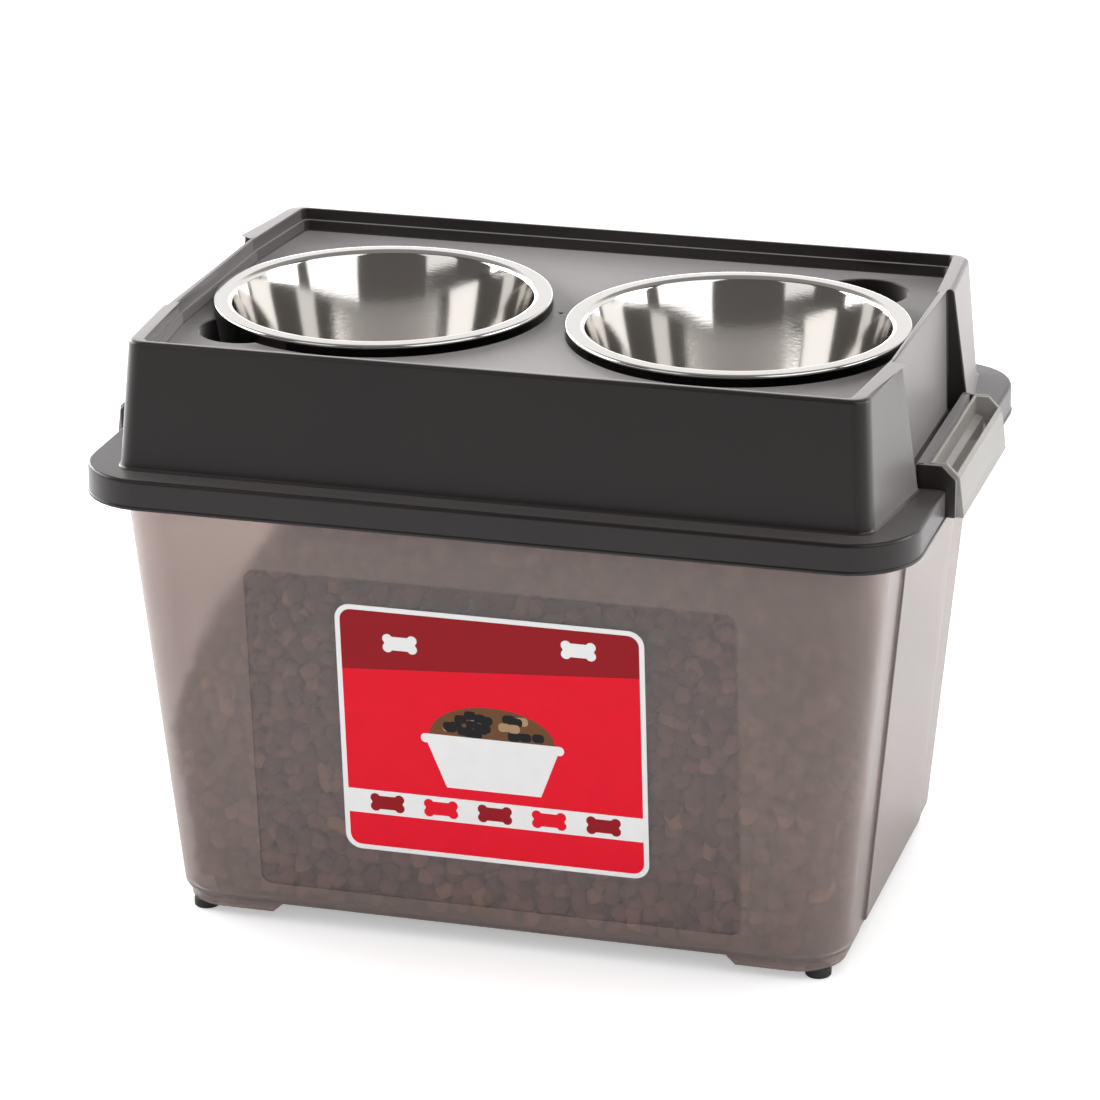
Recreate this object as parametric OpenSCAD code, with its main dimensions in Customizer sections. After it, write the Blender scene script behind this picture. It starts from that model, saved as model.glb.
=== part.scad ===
// Raised two-bowl feeder that stands on an airtight dry-food bin.
// Millimetres, +Z up, front towards -Y. The origin is on the floor under the centre.
// The bowls set the size of the feeder top, and the top sets the size of the bin below it.

/* [Bowls] */
// Outside diameter of a bowl's rolled rim
bowl_rim_d = 235; // [180:1:280]
// Width of the flat rim
bowl_rim_w = 9.2; // [5:0.1:16]
// Height of a bowl from its base to its rim
bowl_depth = 74; // [45:1:95]
// Sheet thickness of a bowl
bowl_sheet = 1; // [0.6:0.1:2]
// How far the rolled edge turns down
bowl_curl = 3; // [1.5:0.1:5]
// Radius of the turn from the flat rim down into the wall
bowl_lip_r = 4.5; // [2.5:0.1:7]
// How far the wall leans in from rim to base
bowl_taper = 14.5; // [4:0.5:24]
// Inner radius of the turn between wall and base
bowl_turn = 8; // [3:0.5:14]
// Space between the two rims
bowl_gap = 17.3; // [8:0.1:60]

/* [Feeder deck] */
// Height of the bowl rims above the deck
bowl_up = 8; // [5:0.5:16]
// How much smaller than the rim the well's mouth is, on the radius
well_under_rim = 0.5; // [0:0.1:3]
// How far a well's wall leans in from mouth to floor
well_taper = 9; // [1:0.5:9]
// Wall and floor thickness of a well
well_wall = 2.5; // [1.5:0.1:4]
// Height of a well's floor above the flange
well_base = 6; // [4:0.5:30]
// Radius of a finger scoop beside a bowl
scoop_r = 31; // [20:0.5:33]
// Depth of a finger scoop below the deck
scoop_depth = 30; // [15:1:40]
// Left scoop: distance from its bowl's centre
scoop_left_reach = 106.6; // [95:0.1:118]
// Left scoop: direction from its bowl's centre
scoop_left_turn = 225.6; // [215:0.1:240]
// Right scoop: distance from its bowl's centre
scoop_right_reach = 128.5; // [110:0.1:130]
// Right scoop: direction from its bowl's centre
scoop_right_turn = 61.4; // [50:0.1:70]
// Deck left between the bowl rims and the side lips
deck_side = 1.35; // [0.8:0.05:30]
// Deck left between the bowl rims and the front and back lips
deck_front = 43; // [30:0.5:70]
// Thickness of the deck
deck_t = 2.5; // [1.5:0.1:4]
// Depth of the deck below the top of the lips
deck_drop = 15.5; // [10:0.5:24]
// Drop from the top of the lips to the ledge inside them
ledge_drop = 8; // [3:0.5:9]
// Width of the ledge
ledge_w = 3; // [1:0.1:5]
// How much the deck narrows towards its corners on each side
deck_tuck = 7.5; // [0:0.5:12]
// Radius of the deck's corners
deck_r = 5; // [2:0.5:12]

/* [Feeder body] */
// Thickness of the front and back lips at the top
lip_front = 4.5; // [4:0.1:8]
// Thickness of the side lips over the hand recesses
lip_mid = 3.5; // [3:0.1:6]
// How far the body stands out past a hand recess at the top
recess_depth = 5.5; // [2:0.5:12]
// Length of a hand recess
recess_len = 168; // [120:1:220]
// How far the wall of a hand recess leans out towards the flange
recess_lean = 2.5; // [0:0.5:6]
// How much the body narrows from a recess to the corner, at the top
body_tuck = 4.5; // [0:0.5:10]
// How far the front and back walls lean out towards the flange
front_lean = 9; // [2:0.5:16]
// How far the side walls lean out beside a hand recess
side_lean = 12.5; // [4:0.5:16]
// How far the corners lean out at the sides
corner_lean = 6; // [2:0.5:12]
// Radius of the body's upright corners
body_r = 12; // [6:0.5:20]
// Radius of the rounded top edge
edge_r = 3.5; // [1.5:0.1:4]
// Thickness of the body's walls
shell_t = 3; // [2:0.1:4]

/* [Flange] */
// Width of the flange at the front and back
shoulder_front = 19.5; // [12:0.5:30]
// Width of the flange beside a hand recess
shoulder_side = 16.5; // [14:0.5:30]
// Thickness of the flange
flange_t = 3; // [2:0.1:5]
// Radius of the flange's corners
flange_r = 48; // [30:1:70]
// Height of the skirt under the flange
skirt_h = 18; // [12:0.5:26]
// Thickness of the skirt
skirt_t = 3; // [2:0.1:4]
// How far the bead along the skirt's lower edge stands out
bead_out = 0.8; // [0.2:0.1:1.5]
// Height of that bead
bead_h = 2; // [1:0.1:4]

/* [Bin] */
// Height of the bin from its underside to its rim
bin_h = 308; // [200:1:400]
// Wall thickness of the bin
bin_wall = 2.5; // [1.5:0.1:4]
// Floor thickness of the bin
bin_floor = 3; // [2:0.1:6]
// How far each side wall leans in from rim to floor
side_draft = 27.5; // [5:0.5:40]
// How far the front and back walls lean in from rim to floor
front_draft = 24; // [5:0.5:36]
// Radius of the bin's corners at the rim
bin_top_r = 45; // [30:1:60]
// Radius of the bin's corners at the floor
bin_low_r = 36; // [20:1:44]
// Size of the softened edge round the underside
bin_edge = 4; // [1:0.5:6]
// Width of the rim at the sides
rim_side = 11; // [8:0.5:16]
// Width of the rim at the front and back
rim_front = 8; // [8:0.5:14]
// Thickness of the rim
rim_t = 3; // [2:0.1:5]
// Gap between rim and skirt at the sides
rim_gap_side = 7; // [4:0.5:12]
// Gap between rim and skirt at the front and back
rim_gap_front = 3.5; // [2:0.5:10]
// Width of the raised panel on each side wall
panel_w = 178; // [100:1:200]
// How far that panel stands out
panel_out = 2; // [0.5:0.1:4]

/* [Bin feet] */
// Height of the corner skirts under the bin
foot_h = 7; // [4:0.5:12]
// Thickness of the corner skirts
foot_wall = 5; // [3:0.5:8]
// Length of a corner skirt along the front
foot_front = 73; // [50:1:110]
// Length of a corner skirt along the side
foot_side = 78; // [50:1:100]
// Run of the slope at the end of a corner skirt
foot_slope = 8; // [2:0.5:15]
// Radius of a round foot pad
pad_r = 9; // [6:0.5:12]
// Height of a pad below its boss
pad_h = 7; // [3:0.5:12]
// Distance of a pad's centre from the bin's outer faces
pad_inset = 19; // [16:0.5:24]
// Width of the boss round a pad
pad_border = 2; // [1:0.5:4]
// Radius of the plug that holds a pad
plug_r = 3.5; // [2:0.1:5]
// Length of that plug
plug_l = 5; // [3:0.1:6]
// Clearance round the plug
plug_clear = 0.05; // [0.02:0.01:0.2]

/* [Window and label] */
// Width of the clear window in the front wall
window_w = 340; // [240:1:380]
// Height of the window
window_h = 238; // [150:1:260]
// Height of the window's lower edge above the bin's underside
window_up = 17; // [12:1:40]
// Depth to which the window is set into the wall
window_in = 0.6; // [0.2:0.1:1]
// Corner radius of the window
window_r = 8; // [4:1:30]
// Width of the label
label_w = 214; // [100:1:230]
// Height of the label
label_h = 184; // [80:1:190]
// Height of the label's lower edge above the window's lower edge
label_up = 35; // [5:1:48]
// Thickness of the label
label_t = 0.4; // [0.2:0.05:0.5]
// Corner radius of the label
label_r = 11; // [4:1:20]

/* [Dry food] */
// Depth of the heap's top below the bin's rim
food_down = 22; // [12:1:150]
// Length of the flat top of the heap
food_top_l = 304; // [140:1:400]
// Width of that top
food_top_w = 200; // [140:1:280]
// Corner radius of that top
food_top_r = 60; // [10:1:65]
// Slope of the heap's sides in degrees
food_slope = 55; // [30:1:65]
// Gap between the food and the bin's walls
food_gap = 0.5; // [0.2:0.1:3]

/* [Seal] */
// Height of the seal between rim and flange
seal_h = 6; // [4:0.5:10]
// Width of the seal
seal_w = 5; // [3:0.5:5]
// Distance of the seal from the rim's outer edge
seal_inset = 3; // [2.5:0.1:3]
// Clearance between the seal and the ribs that hold it
seal_clear = 0.2; // [0.05:0.05:0.5]
// Thickness of the ribs that hold the seal
rib_t = 2; // [1:0.1:2.2]
// Height of those ribs
rib_h = 3.5; // [2:0.1:4]

/* [Latches] */
// Distance of the bracket's ends from the ends of the hand recess
bracket_end = 6; // [2:0.5:12]
// Thickness of the bracket's end plates
plate_t = 4; // [3:0.5:8]
// Thickness of the rail behind the latch
rail_t = 5.5; // [3:0.5:6]
// Height of the bracket above the flange
bracket_h = 16.5; // [12:0.5:24]
// How far the end plates stand out past the flange
plate_out = 6.8; // [3:0.1:10]
// Size of the bevel on the outer top corner of the end plates
plate_bevel = 9.5; // [4:0.5:12]
// Gap between a latch and its end plates
latch_gap = 0.5; // [0.3:0.1:1]
// Gap between the latch and the rail behind it
latch_back = 3; // [2.5:0.1:5]
// Wall thickness of a latch
latch_wall = 2.5; // [1.5:0.1:3.5]
// Thickness of a latch's end walls
latch_cheek = 3.5; // [2:0.5:6]
// Height of a latch's top above its pivot
latch_head = 3.5; // [3:0.1:5]
// Width of a latch's flat top
latch_top = 11.3; // [8:0.1:12]
// Size of the bevel along a latch's outer top edge
latch_bevel = 9; // [4:0.5:11]
// How far a latch's outer face stands out past the end plates
latch_out = 5.2; // [2:0.1:9]
// How far that face leans out towards its lower edge
latch_lean = 3.4; // [0:0.1:5]
// Thickness of a latch's grip floor
latch_floor = 5; // [3:0.5:8]
// How far the latch's upper part stands inboard of its catch
latch_tuck = 1.9; // [0.5:0.1:3]
// Height of a latch's top above its bracket
latch_rise = 0.5; // [0:0.1:2]
// Height of a latch's lower edge above the skirt's lower edge
latch_low = 1; // [0.5:0.1:3]
// Height of an end plate's lower edge above the skirt's lower edge
plate_low = 2; // [1:0.1:5]
// How far the catch stands in from the latch's lower wall
catch_reach = 3; // [1:0.1:4]
// Height of the catch along a latch's inner lower edge
catch_h = 6; // [3:0.5:6.5]
// Clearance between the catch and the rim
catch_clear = 0.4; // [0.3:0.05:1]
// Radius of a latch's pivot stubs
stub_r = 2.5; // [1.5:0.1:3]
// Length of a pivot stub
stub_l = 2.6; // [1:0.1:3]
// Clearance round a pivot stub
stub_clear = 0.1; // [0.05:0.05:0.3]

/* [Hidden] */
$fn = 96;

// Heights, from the floor up
z_foot = pad_h;
z_bin = z_foot + foot_h;
z_rim = z_bin + bin_h;
z_under = z_rim + seal_h;
z_flange = z_under + flange_t;
z_well = z_flange + well_base;
z_bowl = z_well + bowl_depth;
z_deck = z_bowl - bowl_up;
z_top = z_deck + deck_drop;
z_skirt = z_flange - skirt_h - flange_t;
z_bracket = z_flange + bracket_h;

// Half widths and half depths, from the bowls outwards
bowl_x = (bowl_rim_d + bowl_gap) / 2;
deck_x = bowl_x + bowl_rim_d / 2 + deck_side;
pocket_x = deck_x + ledge_w;
recess_x = pocket_x + lip_mid;
body_x = recess_x + recess_depth;
corner_x = body_x - body_tuck;
base_x = body_x + side_lean;
base_corner_x = corner_x + corner_lean;
flange_x = base_x + shoulder_side;
rim_x = flange_x - skirt_t - rim_gap_side;
bin_x = rim_x - rim_side;
deck_y = bowl_rim_d / 2 + deck_front;
pocket_y = deck_y + ledge_w;
body_y = pocket_y + lip_front;
base_y = body_y + front_lean;
flange_y = base_y + shoulder_front;
rim_y = flange_y - skirt_t - rim_gap_front;
bin_y = rim_y - rim_front;
low_x = bin_x - side_draft;
low_y = bin_y - front_draft;
recess_y = recess_len / 2;

// Front wall: its tilt, and its half depth at height z
front_tilt = atan(front_draft / bin_h);
function wall_y(z) = low_y + front_draft * (z - z_bin) / bin_h;
function wall_x(z) = low_x + side_draft * (z - z_bin) / bin_h;

// Latch and bracket
bracket_y = recess_y - bracket_end;
latch_y = bracket_y - plate_t - latch_gap;
catch_x = rim_x + catch_clear;
lower_in = catch_x + catch_reach;
latch_in = catch_x - latch_tuck;
rail_face = latch_in - latch_back;
rail_x = rail_face - rail_t;
latch_crown = z_bracket + latch_rise;
latch_z = z_skirt + latch_low;
pivot_x = latch_in + latch_head;
pivot_z = latch_crown - latch_head;
plate_x = flange_x + plate_out;
latch_face = plate_x + latch_out;

// Outline with rounded corners at (xc, yc) and plain corners at (xm, ym)
function outline(xc, yc, xm, ym, r, n = 6) = concat(
    [for (i = [0:n]) let (a = -90 + 90 * i / n) [xc - r + r * cos(a), -yc + r + r * sin(a)]],
    [[xm, -ym], [xm, ym]],
    [for (i = [0:n]) let (a = 90 * i / n) [xc - r + r * cos(a), yc - r + r * sin(a)]],
    [for (i = [0:n]) let (a = 90 + 90 * i / n) [-xc + r + r * cos(a), yc - r + r * sin(a)]],
    [[-xm, ym], [-xm, -ym]],
    [for (i = [0:n]) let (a = 180 + 90 * i / n) [-xc + r + r * cos(a), -yc + r + r * sin(a)]]);

// Rectangle with round corners, given by its half sizes
module round_rect(hx, hy, r) {
    square([2 * hx, 2 * (hy - r)], center = true);
    square([2 * (hx - r), 2 * hy], center = true);
    for (sx = [-1, 1], sy = [-1, 1])
        translate([sx * (hx - r), sy * (hy - r)])
            circle(r);
}

// Ring between two round rectangles
module round_ring(hx, hy, r, w, h) {
    linear_extrude(h)
        difference() {
            round_rect(hx, hy, r);
            round_rect(hx - w, hy - w, r - w);
        }
}

// Thin slice of a round rectangle, for the tapered walls
module slice(hx, hy, r, z) {
    translate([0, 0, z])
        linear_extrude(0.01)
            polygon([for (q = [0:3], i = [0:8])
                let (a = 90 * q + 90 * i / 8, sx = q == 0 || q == 3 ? 1 : -1, sy = q < 2 ? 1 : -1)
                [sx * (hx - r) + r * cos(a), sy * (hy - r) + r * sin(a)]]);
}

// Thin slice of the feeder body, drawn in by inset
module body_slice(k, z, inset) {
    xc = corner_x + corner_lean * k - inset;
    yc = body_y + front_lean * k - inset;
    xm = body_x + side_lean * k - inset;
    translate([0, 0, z])
        linear_extrude(0.01)
            polygon(outline(xc, yc, xm, recess_y, max(body_r - inset, 1)));
}

// Places a flat shape on the front wall, z up the wall and outwards by lift
module on_front(z, lift) {
    translate([0, -wall_y(z), z])
        rotate([90 + front_tilt, 0, 0])
            translate([0, 0, lift])
                children();
}

module corner_pads() {
    for (sx = [-1, 1], sy = [-1, 1])
        translate([sx * (low_x - pad_inset), sy * (low_y - pad_inset), 0])
            children();
}

// Bin wall with its softened lower edge
module bin_outside() {
    hull() {
        slice(low_x - bin_edge, low_y - bin_edge, bin_low_r - bin_edge, z_bin);
        slice(wall_x(z_bin + bin_edge * 0.35) - bin_edge * 0.3,
            wall_y(z_bin + bin_edge * 0.35) - bin_edge * 0.3, bin_low_r - bin_edge * 0.3,
            z_bin + bin_edge * 0.35);
        slice(wall_x(z_bin + bin_edge), wall_y(z_bin + bin_edge), bin_low_r, z_bin + bin_edge);
        slice(bin_x, bin_y, bin_top_r, z_rim - 0.01);
    }
}

module bin_inside() {
    hull() {
        slice(low_x - bin_wall - bin_edge * 0.6, low_y - bin_wall - bin_edge * 0.6,
            bin_low_r - bin_wall - bin_edge * 0.6, z_bin + bin_floor);
        slice(wall_x(z_bin + bin_floor + bin_edge) - bin_wall,
            wall_y(z_bin + bin_floor + bin_edge) - bin_wall,
            bin_low_r - bin_wall, z_bin + bin_floor + bin_edge);
        slice(bin_x - bin_wall, bin_y - bin_wall, bin_top_r - bin_wall, z_rim + 1);
    }
}

// Raised panel on the right side wall
module side_panel() {
    top = z_rim - rim_t / 2;
    low = z_bin + bin_edge + 1.5;
    hull() {
        translate([wall_x(low) - 1, -panel_w / 2, low])
            cube([1 + panel_out, panel_w, 0.01]);
        translate([wall_x(top) - 1, -panel_w / 2, top])
            cube([1 + panel_out, panel_w, 0.01]);
    }
}

// Skirts under the four corners, open between the feet
module corner_skirts() {
    difference() {
        translate([0, 0, z_foot])
            round_ring(low_x - bin_edge, low_y - bin_edge, bin_low_r - bin_edge, foot_wall,
                foot_h + bin_floor / 2);
        span = low_x - foot_front;
        rotate([90, 0, 0])
            linear_extrude(4 * low_y, center = true)
                polygon([[-span, z_foot - 1], [span, z_foot - 1], [span, z_foot],
                    [span - foot_slope, z_bin], [foot_slope - span, z_bin], [-span, z_foot]]);
        gap = low_y - foot_side;
        rotate([90, 0, 90])
            linear_extrude(4 * low_x, center = true)
                polygon([[-gap, z_foot - 1], [gap, z_foot - 1], [gap, z_foot],
                    [gap - foot_slope, z_bin], [foot_slope - gap, z_bin], [-gap, z_foot]]);
    }
    translate([0, 0, z_foot])
        linear_extrude(foot_h + bin_floor / 2)
            intersection() {
                round_rect(low_x - bin_edge, low_y - bin_edge, bin_low_r - bin_edge);
                for (sx = [-1, 1], sy = [-1, 1])
                    translate([sx * (low_x - pad_inset), sy * (low_y - pad_inset)])
                        circle(pad_r + pad_border);
            }
}

module storage_bin() {
    color([0.50, 0.45, 0.43, 0.6])
        difference() {
            union() {
                bin_outside();
                translate([0, 0, z_rim - rim_t])
                    linear_extrude(rim_t)
                        round_rect(rim_x, rim_y, bin_top_r + rim_front);
                side_panel();
                mirror([1, 0, 0])
                    side_panel();
                corner_skirts();
            }
            bin_inside();
            on_front(z_bin + window_up + window_h / 2, -window_in)
                linear_extrude(window_in + 2)
                    round_rect(window_w / 2, window_h / 2, window_r);
            corner_pads()
                translate([0, 0, z_foot - 1])
                    cylinder(r = plug_r + plug_clear, h = plug_l + 1 + plug_clear);
        }
}

module foot_pad(sx, sy) {
    color([0.10, 0.10, 0.10])
        translate([sx * (low_x - pad_inset), sy * (low_y - pad_inset), 0]) {
            cylinder(r1 = pad_r - 1, r2 = pad_r, h = 1);
            translate([0, 0, 1])
                cylinder(r = pad_r, h = pad_h - 1);
            translate([0, 0, pad_h - 0.5])
                cylinder(r = plug_r, h = plug_l + 0.5);
        }
}

// Hand recess on the right side, grown inwards by grow
module hand_recess(grow) {
    half = recess_y + grow;
    wall = recess_x + recess_lean - grow;
    translate([0, half, 0])
        rotate([90, 0, 0])
            linear_extrude(2 * half)
                polygon([[recess_x - grow, z_top + 2], [wall, z_flange], [wall, z_under - 5],
                    [base_x + 20, z_under - 5], [base_x + 20, z_top + 2]]);
}

// Outer form of the feeder body, with its rounded top edge
module body_outside() {
    hull() {
        body_slice(1, z_flange - 1, 0);
        body_slice(0, z_top - edge_r, 0);
        body_slice(0, z_top - edge_r * 0.5, edge_r * 0.13);
        body_slice(0, z_top - edge_r * 0.15, edge_r * 0.47);
        body_slice(0, z_top - 0.01, edge_r * 0.9);
    }
}

// Hollow under the deck, which stays a wall away from the hand recesses
module body_inside() {
    difference() {
        hull() {
            body_slice(1, z_under - 1, shell_t);
            body_slice(1, z_flange, shell_t);
            body_slice(deck_drop / (z_top - z_flange), z_deck - deck_t, shell_t);
        }
        hand_recess(shell_t);
        mirror([1, 0, 0])
            hand_recess(shell_t);
    }
}

// Deck recess with the ledge inside the lips
module deck_pocket() {
    translate([0, 0, z_deck])
        linear_extrude(deck_drop + 1)
            polygon(outline(deck_x - deck_tuck, deck_y, deck_x, recess_y - 8, deck_r));
    translate([0, 0, z_top - ledge_drop])
        linear_extrude(ledge_drop + 1)
            polygon(outline(pocket_x - deck_tuck, pocket_y, pocket_x, recess_y - 8, deck_r));
}

// Position of a finger scoop: s is -1 for the left bowl and 1 for the right
function scoop_at(s) = s < 0
    ? [-bowl_x + scoop_left_reach * cos(scoop_left_turn), scoop_left_reach * sin(scoop_left_turn)]
    : [bowl_x + scoop_right_reach * cos(scoop_right_turn), scoop_right_reach * sin(scoop_right_turn)];

// Wells for the bowls and their scoops, up to z_end
module wells(grow, z_end) {
    mouth = bowl_rim_d / 2 - well_under_rim + grow;
    slope = well_taper / (z_deck - z_well);
    for (s = [-1, 1]) {
        translate([s * bowl_x, 0, z_well - grow])
            cylinder(r1 = mouth - well_taper, r2 = mouth + slope * (z_end - z_deck),
                h = z_end - z_well + grow);
        translate([scoop_at(s)[0], scoop_at(s)[1], z_deck - scoop_depth - grow])
            cylinder(r = scoop_r + grow, h = z_end - z_deck + scoop_depth + grow);
    }
}

// End plate of the right bracket, as a flat outline in X and Z
module plate_shape() {
    low = z_under + flange_t / 3;
    polygon([[rail_x, low], [rail_x, z_bracket], [plate_x - plate_bevel, z_bracket],
        [plate_x, z_bracket - plate_bevel], [plate_x, z_skirt + plate_low],
        [flange_x - skirt_t / 2, z_skirt + plate_low], [flange_x - skirt_t / 2, low]]);
}

// Right bracket: two end plates with pivot holes and the rail between them
module bracket() {
    difference() {
        union() {
            for (s = [-1, 1])
                translate([0, s * (bracket_y - plate_t / 2) + plate_t / 2, 0])
                    rotate([90, 0, 0])
                        linear_extrude(plate_t)
                            plate_shape();
            translate([rail_x, 0.5 - bracket_y, z_under + flange_t / 3])
                cube([rail_t, 2 * bracket_y - 1, bracket_h + 2 * flange_t / 3]);
        }
        translate([pivot_x, 0, pivot_z])
            rotate([90, 0, 0])
                cylinder(r = stub_r + stub_clear, h = 2 * (latch_y + stub_l + 0.4),
                    center = true, $fn = 48);
    }
}

// Flange with its skirt and bead, open where the latches swing
module flange_and_skirt() {
    difference() {
        union() {
            translate([0, 0, z_skirt])
                linear_extrude(z_flange - z_skirt)
                    round_rect(flange_x, flange_y, flange_r);
            translate([0, 0, z_skirt])
                linear_extrude(bead_h)
                    round_rect(flange_x + bead_out, flange_y + bead_out, flange_r + bead_out);
        }
        translate([0, 0, z_skirt - 1])
            linear_extrude(z_under - z_skirt + 1)
                round_rect(flange_x - skirt_t, flange_y - skirt_t, flange_r - skirt_t);
        for (s = [-1, 1])
            translate([s * (rim_x + 30), 0, z_flange])
                cube([60, 2 * (bracket_y - plate_t + 0.5), 60], center = true);
    }
}

module feeder_lid() {
    color([0.13, 0.12, 0.12])
        difference() {
            union() {
                difference() {
                    union() {
                        difference() {
                            body_outside();
                            hand_recess(0);
                            mirror([1, 0, 0])
                                hand_recess(0);
                            deck_pocket();
                        }
                        flange_and_skirt();
                    }
                    body_inside();
                }
                wells(well_wall, z_deck - deck_t / 2);
                seal_ribs();
                bracket();
                mirror([1, 0, 0])
                    bracket();
            }
            wells(0, z_deck + 2);
        }
}

// Ribs under the flange on both sides of the seal
module seal_ribs() {
    out = seal_inset - seal_clear - rib_t;
    in = seal_inset + seal_w + seal_clear;
    for (i = [out, in])
        translate([0, 0, z_under - rib_h])
            round_ring(rim_x - i, rim_y - i, bin_top_r + rim_front - i, rib_t, rib_h + 0.5);
}

module lid_seal() {
    color([0.20, 0.20, 0.21])
        translate([0, 0, z_rim])
            round_ring(rim_x - seal_inset, rim_y - seal_inset,
                bin_top_r + rim_front - seal_inset, seal_w, seal_h);
}

// Points of an arc about [x, y] from angle a to angle b
function arc(x, y, r, a, b, n) =
    [for (i = [0:n]) let (t = a + (b - a) * i / n) [x + r * cos(t), y + r * sin(t)]];

// Bowl of revolution: flat rim, rolled edge, straight leaning wall and flat base
module bowl(s) {
    rim_r = bowl_rim_d / 2;
    lip_x = rim_r - bowl_rim_w;
    lip_z = bowl_depth - bowl_lip_r;
    t = bowl_sheet;
    lean = atan(bowl_taper / bowl_depth);
    turn_z = t + bowl_turn;
    turn_x = lip_x - (bowl_lip_r + bowl_turn) / cos(lean) - (lip_z - turn_z) * tan(lean);
    color([0.78, 0.78, 0.77])
        translate([s * bowl_x, 0, z_well])
            rotate_extrude($fn = 128)
                polygon(concat(
                    [[0, 0]],
                    arc(turn_x, turn_z, bowl_turn + t, -90, -lean, 6),
                    arc(lip_x, lip_z, bowl_lip_r - t, 180 - lean, 90, 5),
                    [[rim_r - t * 1.5, bowl_depth - t],
                    [rim_r - t * 1.5, bowl_depth - bowl_curl],
                    [rim_r - t * 0.3, bowl_depth - bowl_curl],
                    [rim_r, bowl_depth - bowl_curl + t * 0.7],
                    [rim_r, bowl_depth - t],
                    [rim_r - t * 0.4, bowl_depth - t * 0.3],
                    [rim_r - t, bowl_depth]],
                    arc(lip_x, lip_z, bowl_lip_r, 90, 180 - lean, 6),
                    arc(turn_x, turn_z, bowl_turn, -lean, -90, 6),
                    [[0, t]]));
}

// Outline of the right latch in X and Z
module latch_shape() {
    polygon([[latch_in, latch_crown], [latch_in + latch_top, latch_crown],
        [latch_face - latch_lean, latch_crown - latch_bevel],
        [latch_face, latch_z], [catch_x, latch_z], [catch_x, latch_z + catch_h],
        [lower_in, latch_z + catch_h], [lower_in, z_flange + 2], [latch_in, z_flange + 4]]);
}

// Grip hollow of the right latch, open at the top and through the bevel
module latch_grip() {
    face = latch_face - latch_wall;
    brow = latch_crown - latch_bevel - 1;
    polygon([[latch_in + latch_wall, latch_crown + 1], [latch_in + latch_wall, z_flange + 4.5],
        [lower_in + latch_wall, z_flange + 2], [lower_in + latch_wall, latch_z + latch_floor],
        [face - 0.6, latch_z + latch_floor], [face - latch_lean, brow],
        [face - latch_lean, latch_crown + 1]]);
}

module right_latch() {
    color([0.55, 0.55, 0.54, 0.7]) {
        difference() {
            translate([0, latch_y, 0])
                rotate([90, 0, 0])
                    linear_extrude(2 * latch_y)
                        latch_shape();
            translate([0, latch_y - latch_cheek, 0])
                rotate([90, 0, 0])
                    linear_extrude(2 * (latch_y - latch_cheek))
                        latch_grip();
        }
        for (s = [-1, 1])
            translate([pivot_x, s * (latch_y + stub_l / 2 - 0.5), pivot_z])
                rotate([90, 0, 0])
                    cylinder(r = stub_r, h = stub_l + 1, center = true, $fn = 48);
    }
}

module latch_right() {
    right_latch();
}

module latch_left() {
    mirror([1, 0, 0])
        right_latch();
}

module front_label() {
    middle = z_bin + window_up + label_up + label_h / 2;
    color([0.85, 0.06, 0.14])
        on_front(middle, -window_in)
            linear_extrude(label_t)
                round_rect(label_w / 2, label_h / 2, label_r);
}

// Heap of dry food that lies on the bin's floor and against its walls
module dry_food() {
    z_food = z_rim - food_down;
    spread = (z_food - z_bin) / tan(food_slope);
    floor_in = bin_wall + bin_edge * 0.6 + food_gap;
    wall_in = bin_wall + food_gap;
    z_turn = z_bin + bin_floor + bin_edge;
    color([0.36, 0.22, 0.15])
        intersection() {
            hull() {
                slice(low_x - floor_in, low_y - floor_in, bin_low_r - floor_in, z_bin + bin_floor);
                slice(wall_x(z_turn) - wall_in, wall_y(z_turn) - wall_in, bin_low_r - wall_in, z_turn);
                slice(bin_x - wall_in, bin_y - wall_in, bin_top_r - wall_in, z_rim);
            }
            hull() {
                slice(food_top_l / 2, food_top_w / 2, food_top_r, z_food - 0.01);
                slice(food_top_l / 2 + spread, food_top_w / 2 + spread, food_top_r + spread, z_bin);
            }
        }
}

storage_bin();
foot_pad(-1, -1);  // foot_pad_front_left
foot_pad(1, -1);  // foot_pad_front_right
foot_pad(-1, 1);  // foot_pad_back_left
foot_pad(1, 1);  // foot_pad_back_right
feeder_lid();
lid_seal();
bowl(-1);  // bowl_left
bowl(1);  // bowl_right
latch_left();
latch_right();
front_label();
dry_food();
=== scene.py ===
import math
import random

import bmesh
import bpy
from mathutils import Matrix, Vector, geometry, noise

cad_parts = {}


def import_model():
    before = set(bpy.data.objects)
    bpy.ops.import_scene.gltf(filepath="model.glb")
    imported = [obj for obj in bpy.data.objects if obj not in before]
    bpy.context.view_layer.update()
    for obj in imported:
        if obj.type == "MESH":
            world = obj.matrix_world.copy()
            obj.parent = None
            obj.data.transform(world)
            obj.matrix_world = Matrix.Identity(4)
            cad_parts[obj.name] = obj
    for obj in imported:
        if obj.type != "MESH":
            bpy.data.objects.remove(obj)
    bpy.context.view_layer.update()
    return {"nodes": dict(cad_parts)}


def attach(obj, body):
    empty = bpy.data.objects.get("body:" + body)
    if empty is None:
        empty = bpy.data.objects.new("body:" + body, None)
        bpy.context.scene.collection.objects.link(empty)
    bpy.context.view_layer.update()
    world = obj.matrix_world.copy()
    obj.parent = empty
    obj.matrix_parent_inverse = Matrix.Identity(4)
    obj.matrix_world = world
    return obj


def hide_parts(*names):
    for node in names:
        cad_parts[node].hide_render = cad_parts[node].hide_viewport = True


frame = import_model()

MM = 0.001

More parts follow.
